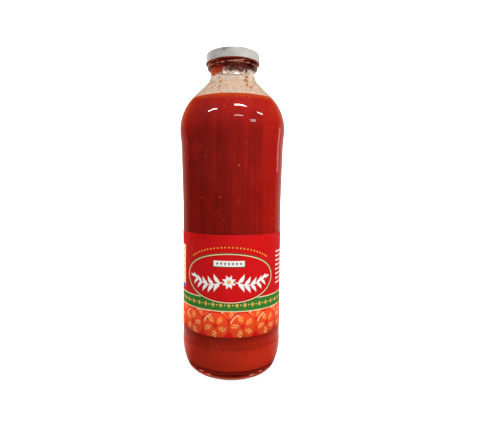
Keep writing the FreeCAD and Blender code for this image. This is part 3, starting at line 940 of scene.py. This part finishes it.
def band(path, half):
    """A strip of even width along a path."""
    left = []
    right = []
    for (x, y), along in zip(path, headings(path)):
        left.append((x - along.y * half, y + along.x * half))
        right.append((x + along.y * half, y - along.x * half))
    return left + right[::-1]


def sprig(side, middle, up, ink, shift):
    """Half of a garland: a bowed stem with pairs of slim leaves, away from the middle."""
    stem = []
    for step in range(25):
        share = step / 24
        across = middle + side * (5.0 + 24.0 * share)
        climb = 2.6 * share ** 2 - 3.0 * math.sin(math.pi * share)
        stem.append((across + shift[0], up + climb + shift[1]))
    yield band(stem, 0.40), ink
    heading = 0.0 if side > 0 else math.pi
    for pair in range(5):
        share = (pair + 0.45) / 5
        x, y = stem[round(share * 24)]
        size = 8.8 * (1 - 0.30 * share)
        lean = math.radians(56 - 10 * share) * side
        yield leaf(x, y, heading + lean, size, 0.19, -0.10 * side), ink
        yield leaf(x, y, heading - lean, size, 0.19, 0.10 * side), ink
    x, y = stem[-1]
    yield leaf(x, y, heading + 0.18 * side, 5.6, 0.22, 0.0), ink


def slice_of_tomato(across, up, radius, angle, draw):
    """A cut tomato: skin, flesh, seed chambers and seeds, each a little uneven."""
    phase = draw.uniform(0, 6.28)

    def wobbly(size, amount, points):
        spots = []
        for step in range(points):
            turn = 2 * math.pi * step / points
            wide = amount * math.sin(3 * turn + phase)
            narrow = amount * 0.6 * math.sin(5 * turn + 2 * phase)
            reach = size * (1 + wide + narrow)
            spots.append((across + reach * math.cos(turn), up + reach * math.sin(turn)))
        return spots

    yield wobbly(radius, 0.018, 72), "skin"
    yield wobbly(radius * 0.93, 0.018, 64), "flesh"
    chambers = 5
    for index in range(chambers):
        turn = angle + 2 * math.pi * index / chambers
        lobe = []
        for step in range(22):
            around = 2 * math.pi * step / 22
            reach = 0.5 + 0.5 * math.cos(around)
            lobe.append((
                radius * (0.52 + 0.27 * math.cos(around)),
                radius * 0.20 * math.sin(around) * (0.65 + 0.55 * reach)))
        yield turned_spots(lobe, across, up, turn), "chamber"
        for place_in_row in range(4):
            off = (0.075 if place_in_row % 2 else -0.075) * radius
            row = [(radius * (0.38 + 0.11 * place_in_row), off)]
            x, y = turned_spots(row, across, up, turn)[0]
            seed = oval(0, 0, 0.052 * radius, 0.030 * radius, 8)
            yield turned_spots(seed, x, y, turn + draw.uniform(-0.5, 0.5)), "cream"
    yield wobbly(radius * 0.17, 0.10, 24), "skin"
    turns = [1.9 + 0.12 * step for step in range(9)]
    gleam = [(radius * 0.84 * math.cos(turn), radius * 0.84 * math.sin(turn)) for turn in turns]
    yield turned_spots(band(gleam, 0.35), across, up, 0.0), "cream"


def front_of_label(draw):
    """The medallion with its sprig, over the green band and the row of slices."""
    middle = -1.9
    half = LABEL_ROUND / 2 + 6
    radius = 11.2
    around = int(LABEL_ROUND / 21.4)
    spacing = LABEL_ROUND / around
    centres = [middle + (index - around // 2 + 0.5) * spacing for index in range(around)]
    for centre in centres:
        gap = centre + spacing / 2
        yield from slice_of_tomato(gap, 13.0, radius * 0.86, draw.uniform(0, 1.2), draw)
        for lean in (-0.95, -0.3, 0.35, 1.0) if centre < centres[-1] else ():
            yield leaf(gap, 6.5, math.pi / 2 + lean, 10.5, 0.20, 0.05), "dark_green"
    for centre in centres:
        yield from slice_of_tomato(centre, 8.6, radius, draw.uniform(0, 1.2), draw)
    for low, high, ink in ((20.0, 20.7, "cream"), (20.7, 29.6, "green"), (29.6, 30.3, "cream")):
        yield block(-half, low, half, high), ink
    step = 6.2
    reach = int(half / step)
    for index in range(-reach, reach + 1):
        centre = middle + index * step
        yield diamond(centre, 25.15, 1.5, 1.9), "gold"
        yield diamond(centre + step / 2, 25.15, 0.55, 0.7), "cream"
    rings = (
        (45.5, 38.4, 19.6, "dark_green"), (45.5, 37.6, 18.9, "cream"), (45.5, 36.9, 18.2, "deep_red"),
        (45.9, 36.0, 17.2, "red"))
    for up, half_width, half_height, ink in rings:
        yield oval(middle, up, half_width, half_height, 150), ink
    for ink, shift in (("deep_red", (0.7, -0.8)), ("white", (0.0, 0.0))):
        for side in (-1, 1):
            yield from sprig(side, middle, 42.6, ink, shift)
    yield from petals(middle, 42.8, 8, 5.6, math.pi / 8, "white")
    yield oval(middle, 42.8, 1.5, 1.5, 24), "gold"
    yield block(middle - 12.8, 54.0, middle + 12.8, 58.4), "dark_green"
    yield block(middle - 12.0, 54.6, middle + 12.0, 59.0), "white"
    for index in range(7):
        yield diamond(middle + (index - 3) * 3.0, 56.8, 0.8, 1.2), "dark_green"
    for index in range(25):
        turn = math.radians(42 + 96 * index / 24)
        x = middle + 42.0 * math.cos(turn)
        yield oval(x, 45.5 + 23.6 * math.sin(turn), 0.62, 0.62, 10), "gold"


def sides_of_label(draw):
    """Plain panels either side of the front, ruled with bars."""
    yield block(-86.0, 36.0, -46.5, 68.0), "cream"
    for row in range(9):
        right = -50.0 - draw.uniform(0.0, 9.0)
        yield block(-82.5, 40.0 + row * 2.9, right, 41.1 + row * 2.9), "dark_green"
    yield block(-86.0, 33.0, -46.5, 36.0), "blue"
    for row in range(8):
        at = 42.0 + draw.uniform(0.0, 0.8)
        right = 66.0 - draw.uniform(0.0, 9.0)
        low = 37.5 + row * 3.6
        while at < right:
            width = draw.uniform(1.6, 4.6)
            yield block(at, low, min(at + width, right), low + 1.25), "white"
            at += width + 1.0
    yield block(84.0, 34.0, 118.0, 70.0), "white"
    for row in range(10):
        right = 86.5 + draw.uniform(18, 29)
        yield block(86.5, 37.0 + row * 3.1, right, 37.5 + row * 3.1), "dark_green"
    yield oval(-103.0, 50.0, 11.0, 11.0, 64), "gold"
    yield oval(-103.0, 50.0, 10.0, 10.0, 64), "deep_red"
    yield from petals(-103.0, 50.0, 6, 8.0, 0.0, "cream")


def clipped(outline, left, low, right, high):
    """An outline held inside the sheet, run anticlockwise, or none if nothing of it is left."""
    held = [(min(max(x, left), right), min(max(y, low), high)) for x, y in outline]
    area = sum(a[0] * b[1] - b[0] * a[1] for a, b in zip(held, held[1:] + held[:1])) / 2
    if abs(area) < 0.05:
        return None
    return held if area > 0 else held[::-1]


def drawn_sheet(shapes, left, right, low, high):
    """Flat triangles of the sheet, each with the ink of the topmost shape over it."""
    spots = []

    def take(outline):
        start = len(spots)
        spots.extend(Vector(spot) for spot in outline)
        return tuple(range(start, len(spots)))

    faces = [take(block(left, low, right, high))]
    printed = ["red"]
    for outline, ink in shapes:
        held = clipped(outline, left, low, right, high)
        if held:
            faces.append(take(held))
            printed.append(ink)
    edges = []
    columns = math.ceil((right - left) / 2.0)
    for column in range(1, columns):
        across = left + (right - left) * column / columns
        edges.append(take([(across, low), (across, high)]))
    rows = math.ceil((high - low) / 6.0)
    for row in range(1, rows):
        up = low + (high - low) * row / rows
        edges.append(take([(left, up), (right, up)]))
    corners, _, triangles, _, _, sources = geometry.delaunay_2d_cdt(spots, edges, faces, 0, 1e-5)
    kept = [(triangle, max(source)) for triangle, source in zip(triangles, sources) if source]
    return corners, [triangle for triangle, _ in kept], [printed[top] for _, top in kept]


def sheet_end(settings):
    """How far the sheet reaches either side of the middle of the front, in millimetres."""
    return math.radians(180 + settings.overlap / 2) * LABEL_RADIUS / MM


def wrapped(across, up, settings):
    """A spot of the flat sheet, wound round the bottle with its end over its start."""
    angle = across * MM / LABEL_RADIUS - math.pi / 2
    start_of_overlap = sheet_end(settings) - math.radians(settings.overlap) * LABEL_RADIUS / MM
    lift = min(max((across - start_of_overlap + 1.5) / 1.5, 0.0), 1.0) * (settings.thickness + 0.03 * MM)
    radius = LABEL_RADIUS + lift
    return Vector((radius * math.cos(angle), radius * math.sin(angle), LABEL_FOOT + up * MM))


def print_tone_and_shade(spot, ink):
    """How much light the print gives an ink: the printed fruit is paler above and darker below, and the red
    ground and green band carry painted shade, darker towards both sides.
    """
    if ink in ("skin", "flesh", "chamber"):
        return min(max(0.72 + 0.026 * spot.y, 0.62), 1.12)
    # Painted shade: the red ground and the green band darken towards both sides of the front, a little more
    # to the left.
    if ink in ("red", "green"):
        return 0.90 + 0.10 * math.cos((spot.x - 4.0) / 22.0)
    return 1.0


def label_material():
    """Coated paper: the ink of each shape, faint print grain and a satin skin."""
    material, tree = new_material("coated_label_paper")
    ink = add_node(tree, "ShaderNodeVertexColor", {"layer_name": "ink"}).outputs["Color"]
    spot = place(tree)
    grain = noise_value(spot, 2600.0)
    fibres = noise_value(drawn_down(spot, 0.3), 600.0, 3.0)
    body = mixed(between(grain, 0.3, 0.7, 0.0, 0.08), ink, (0.02, 0.004, 0.004))
    return finished(material, principled({
        "Base Color": body, "Roughness": between(fibres, 0.3, 0.7, 0.42, 0.55),
        "Specular IOR Level": 0.07, "Normal": bump(fibres, 0.08, 0.0001)}))


def paper_edge_material():
    """Paper stained by the ink at the cut edges and on the back."""
    material, tree = new_material("bare_paper")
    fibres = noise_value(place(tree), 1200.0)
    body = mixed(fibres, (0.42, 0.20, 0.16), (0.52, 0.28, 0.22))
    return finished(material, principled({"Base Color": body, "Roughness": 0.8}))


class BOTTLE_OT_label(bpy.types.Operator):
    """Print the label and wrap it round the bottle"""

    bl_idname = "tomato_bottle.label"
    bl_label = "Wrap the Label"

    def execute(self, context):
        settings = context.scene.tomato_label
        draw = random.Random(7)
        shapes = [*sides_of_label(draw), *front_of_label(draw)]
        reach = sheet_end(settings)
        corners, triangles, inks = drawn_sheet(shapes, -reach, reach, 0.0, LABEL_HEIGHT)
        mesh = bpy.data.meshes.new("printed_label")
        places = [tuple(wrapped(spot.x, spot.y, settings)) for spot in corners]
        mesh.from_pydata(places, [], [tuple(face) for face in triangles])
        values = []
        for face, ink in zip(mesh.polygons, inks):
            rgb = getattr(settings, ink)
            for corner in face.vertices:
                values.extend(opaque(dimmed(rgb, print_tone_and_shade(corners[corner], ink))))
        mesh.color_attributes.new("ink", "FLOAT_COLOR", "CORNER").data.foreach_set("color", values)
        smooth_over(mesh)
        mesh.materials.append(label_material())
        mesh.materials.append(paper_edge_material())
        label = new_object("printed_label", mesh)
        wall = label.modifiers.new("paper", "SOLIDIFY")
        wall.thickness = settings.thickness
        wall.offset = -1.0
        wall.material_offset = 1
        wall.material_offset_rim = 1
        thick = applied(label)
        label.modifiers.clear()
        label.data = thick
        thick.name = "printed_label"
        join_as_piece(label, "label_paper", "label")
        return {"FINISHED"}


# ---- stage ---------------------------------------------------------------------------------------
# Lamps: azimuth, elevation, distance, size, power, and whether gloss shows them.
# Strips: the azimuth and elevation of both ends, width and power.
# Azimuth 0 is the camera's side and 90 is the right.

LAMPS = {
    "key": (70, 24, 0.9, (0.5, 0.7), 4.4, False),
    "fill": (10, 6, 1.1, (0.8, 0.5), 3.55, False),
    "top": (0, 78, 0.9, (0.8, 0.8), 4.4, False),
    "rim_right": (121, 8, 0.8, (0.10, 0.16), 0.05, True),
    "rim_left": (-133, 10, 0.9, (0.3, 0.5), 15.0, False),
    "edge_right": (130, 10, 0.9, (0.3, 0.5), 3.0, False)}
STRIPS = {
    "strip_left": ((-58, 34), (-39, 41.5), 0.06, 1.8),
    "strip_middle": ((6, 53), (37, 47.4), 0.08, 2.9),
    "strip_right": ((58, 33), (70, 28.5), 0.05, 0.8),
    "strip_faint": ((4, 26.3), (22, 25.8), 0.025, 0.45),
    "spot_right": ((38, 15.5), (50, 16.5), 0.08, 0.30),
    "spot_low": ((22, 11.7), (24, 13.8), 0.03, 0.20)}


def seen_directly(tree):
    """One for rays from the camera and through glass."""
    ray = add_node(tree, "ShaderNodeLightPath").outputs
    return most(ray["Is Camera Ray"], ray["Is Transmission Ray"])


def stage_material(settings):
    """Matt white, lifted to white where it is looked at, still taking the shadow.

    Gloss sees it paler behind the bottle than in front, where the room is dark.
    """
    material, tree = new_material("pale_stage")
    spot = place(tree)
    ray = add_node(tree, "ShaderNodeLightPath").outputs
    away = with_vectors("LENGTH", spot)
    way = way_out(spot)
    back = axis(way, "Y")
    behind = between(back, 0.36, 0.80, 0.0, settings.gloss_glow)
    sided = between(axis(way, "X"), -0.5, 0.5, 0.85, 1.35)
    sided = times(sided, between(axis(spot, "Z"), 0.40, 1.20, 1.0, 0.0))
    near = times(between(back, -0.3, 0.5), between(away, 0.10, 0.17, 0.55, 0.0))
    gloss = times(ray["Is Glossy Ray"], most(times(behind, sided), near))
    # Painted shadow: seen through the glass, the floor close round the bottle's foot turns dark, standing in
    # for the shadow of the bottle and its pulp.
    shadow_through_glass = times(ray["Is Transmission Ray"], between(away, 0.045, 0.075, 1.0, 0.0))
    lift = between(away, 0.05, 0.28, settings.near_glow, 1.0)
    lift = times(lift, calculate("SUBTRACT", 1.0, shadow_through_glass))
    strength = most(times(seen_directly(tree), lift), gloss)
    warmth = mixed(ray["Is Glossy Ray"], (1, 1, 1), (1.0, 0.80, 0.68))
    glow = fed("ShaderNodeEmission", {"Color": warmth, "Strength": strength})[0]
    matt = add_node(
        tree, "ShaderNodeBsdfDiffuse", None, {"Color": opaque(settings.floor), "Roughness": 0.5}).outputs[0]
    dark = add_node(tree, "ShaderNodeBsdfDiffuse", None, {"Color": (0.02, 0.02, 0.02, 1)}).outputs[0]
    shown = over(most(ray["Is Glossy Ray"], shadow_through_glass), matt, dark)
    return finished(material, fed("ShaderNodeAddShader", {0: shown, 1: glow})[0])


def add_stage(settings):
    """A floor that sweeps up behind the bottle."""
    section = [(-2.4, 0.0), (0.75, 0.0)]
    for step in range(1, 13):
        turn = math.radians(90 * step / 12)
        section.append((0.75 + 0.45 * math.sin(turn), 0.45 - 0.45 * math.cos(turn)))
    section.append((1.2, 2.2))
    bm = bmesh.new()
    rows = []
    for along, up in section:
        rows.append([bm.verts.new((side * 9.0, along, up)) for side in (-1, 1)])
    for near, far in zip(rows, rows[1:]):
        bm.faces.new((near[0], near[1], far[1], far[0]))
    mesh = mesh_from("stage_sweep", bm)
    mesh.materials.append(stage_material(settings))
    sweep = new_object("stage_sweep", mesh)


def towards(azimuth, elevation):
    turn = math.radians(azimuth)
    rise = math.radians(elevation)
    return Vector((math.sin(turn) * math.cos(rise), -math.cos(turn) * math.cos(rise), math.sin(rise)))


def area_lamp(name, size, power):
    """A lamp that isn't seen itself, directly or through glass."""
    lamp = bpy.data.lights.new(name, "AREA")
    lamp.shape = "RECTANGLE"
    lamp.size, lamp.size_y = size
    lamp.energy = power
    made = new_object(name, lamp)
    made.visible_camera = False
    made.visible_transmission = False
    return made


def add_lamp(name, azimuth, elevation, distance, size, power, glossy):
    """A soft lamp that faces the bottle."""
    made = area_lamp(name, size, power)
    way = towards(azimuth, elevation)
    made.location = Vector((0, 0, 0.15)) + way * distance
    made.rotation_euler = (-way).to_track_quat("-Z", "Y").to_euler()
    made.visible_glossy = glossy


def strip_between(name, first, second, width, power):
    """A thin lamp whose ends lie in two directions. It lights no matt surface."""
    centre = Vector((0, 0, 0.2))
    start, end = (centre + towards(*way) * 1.1 for way in (first, second))
    along = end - start
    made = area_lamp(name, (along.length, width), power)
    middle = (start + end) / 2
    across = along.normalized()
    side = (middle - centre).normalized().cross(across).normalized()
    facing = Matrix((across, side, across.cross(side))).transposed().to_4x4()
    made.matrix_world = Matrix.Translation(middle) @ facing
    made.visible_diffuse = False


def background(tree, strength):
    inputs = {"Color": (1, 1, 1, 1), "Strength": strength}
    return add_node(tree, "ShaderNodeBackground", None, inputs).outputs[0]


def add_world():
    """Soft even light, white wherever it is looked at directly or through glass."""
    world = bpy.data.worlds.new("studio")
    bpy.context.scene.world = world
    world.use_nodes = True
    tree = world.node_tree
    tree.nodes.clear()
    gloss = add_node(tree, "ShaderNodeLightPath").outputs["Is Glossy Ray"]
    lit = over(gloss, background(tree, 0.16), background(tree, 0.04))
    shown = over(seen_directly(tree), lit, background(tree, 1.0))
    fed("ShaderNodeOutputWorld", {"Surface": shown})


def add_camera(settings):
    camera = bpy.data.cameras.new("camera")
    camera.sensor_width = 36.0
    camera.lens = settings.lens
    camera.shift_x = settings.shift_across
    camera.shift_y = settings.shift_up
    made = new_object("camera", camera)
    made.location = (0.0, -settings.distance, settings.height)
    made.rotation_mode = "ZYX"
    made.rotation_euler = (math.radians(90 - settings.pitch), 0.0, math.radians(settings.roll))
    bpy.context.scene.camera = made


class BOTTLE_OT_stage(bpy.types.Operator):
    """Set the floor, the lamps and the camera"""

    bl_idname = "tomato_bottle.stage"
    bl_label = "Set the Stage"

    def execute(self, context):
        settings = context.scene.tomato_stage
        add_stage(settings)
        for name, values in LAMPS.items():
            add_lamp(name, *values)
        for name, values in STRIPS.items():
            strip_between(name, *values)
        add_world()
        add_camera(settings)
        context.scene.view_settings.view_transform = "Standard"
        return {"FINISHED"}


# ---- panel and registration ------------------------------------------------------------------------

STEPS = (BOTTLE_OT_glass, BOTTLE_OT_pulp, BOTTLE_OT_residue, BOTTLE_OT_cap, BOTTLE_OT_label, BOTTLE_OT_stage)
GROUPS = (
    ("tomato_glass", GlassSettings), ("tomato_pulp", PulpSettings), ("tomato_residue", ResidueSettings),
    ("tomato_cap", CapSettings), ("tomato_label", LabelSettings), ("tomato_stage", StageSettings))


class BOTTLE_PT_panel(bpy.types.Panel):
    """The bottle's pieces and their settings"""

    bl_idname = "BOTTLE_PT_panel"
    bl_label = "Tomato Bottle"
    bl_space_type = "VIEW_3D"
    bl_region_type = "UI"
    bl_category = "Tomato Bottle"

    def draw(self, context):
        for (name, group), step in zip(GROUPS, STEPS):
            part = self.layout.box()
            part.operator(step.bl_idname)
            settings = getattr(context.scene, name)
            for key in group.__annotations__:
                part.prop(settings, key)


def register():
    for name, group in GROUPS:
        bpy.utils.register_class(group)
        setattr(bpy.types.Scene, name, PointerProperty(type=group))
    for cls in (*STEPS, BOTTLE_PT_panel):
        bpy.utils.register_class(cls)


def unregister():
    for cls in (BOTTLE_PT_panel, *reversed(STEPS)):
        bpy.utils.unregister_class(cls)
    for name, group in reversed(GROUPS):
        delattr(bpy.types.Scene, name)
        bpy.utils.unregister_class(group)


def main():
    register()
    bpy.ops.tomato_bottle.glass()
    bpy.ops.tomato_bottle.pulp()
    bpy.ops.tomato_bottle.residue()
    bpy.ops.tomato_bottle.cap()
    bpy.ops.tomato_bottle.label()
    bpy.ops.tomato_bottle.stage()


if __name__ == "__main__":
    main()
